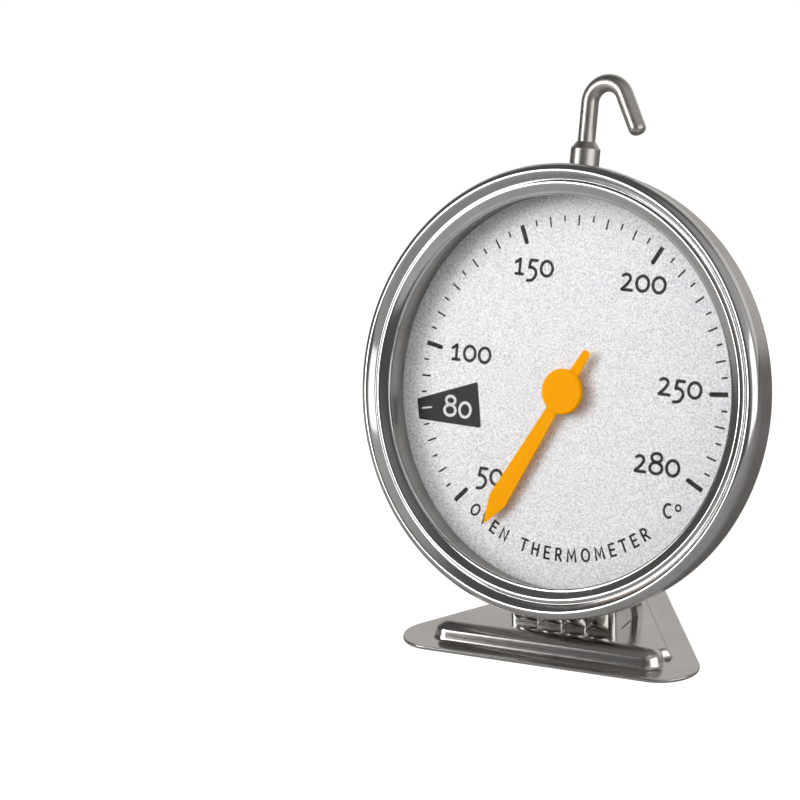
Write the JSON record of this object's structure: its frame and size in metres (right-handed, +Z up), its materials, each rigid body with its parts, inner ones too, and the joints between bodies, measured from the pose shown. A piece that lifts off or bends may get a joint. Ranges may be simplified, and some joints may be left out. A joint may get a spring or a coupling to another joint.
{
  "type": "oven thermometer",
  "caption": "Round dial oven thermometer in a polished steel case, leaning back on a stamped triangular foot, with a swivelling hook on top.",
  "frame": {"origin": "centre of the whole object's bounding box in plan, on the surface that the foot stands on", "axes": "+Z up; the dial faces -Y, leaning back and turned a little; +X to the right as seen from the front"},
  "size_m": [0.0746, 0.0512, 0.0956],
  "materials": {
    "case_steel": "satin",
    "bezel_steel": "polished",
    "spacer_steel": "satin",
    "foot_steel": "polished",
    "bracket_steel": "polished",
    "hook_steel": "satin",
    "inner_steel": "dull",
    "lens_clear": "clear",
    "gasket_black": "matte",
    "dial_face": "silver-white, fine sparkle",
    "movement_brass": "satin",
    "coil_bimetal": "satin",
    "pointer_orange": "matte"
  },
  "bodies": {
    "case_and_stand": {"case_shell": "case_steel", "bezel_ring": "bezel_steel", "lens_gasket": "gasket_black", "lens_glass": "lens_clear", "spacer_ring": "spacer_steel", "backing_ring": "inner_steel", "dial_plate": "dial_face", "front_bush": "movement_brass", "coil_bridge": "inner_steel", "rear_bush": "movement_brass", "bimetal_coil": "coil_bimetal", "coil_anchor": "inner_steel", "anchor_rivet": "movement_brass", "hook_collar": "hook_steel", "base_plate": "foot_steel", "stand_bracket": "bracket_steel", "bracket_gusset": "bracket_steel"},
    "pointer": {"pointer_hand": "pointer_orange", "pointer_cap": "pointer_orange", "pointer_bush": "movement_brass", "pointer_shaft": "inner_steel", "coil_collet": "movement_brass"},
    "hook": {"hook_wire": "hook_steel", "hook_stop": "hook_steel"}
  },
  "joints": [
    {"name": "pointer_spin", "type": "hinge", "parent": "case_and_stand", "child": "pointer", "pos_m": [-0.00022, -0.01591, 0.04576], "axis": [0.1269, 0.9641, -0.2335], "range_deg": [-15, 275], "stiffness_Nm_per_rad": 0.001, "deforming": ["bimetal_coil"]},
    {"name": "hook_swivel", "type": "hinge", "parent": "case_and_stand", "child": "hook", "pos_m": [0.00172, -0.00115, 0.08466], "axis": [0.0305, 0.2314, 0.9724], "continuous": true}
  ]
}
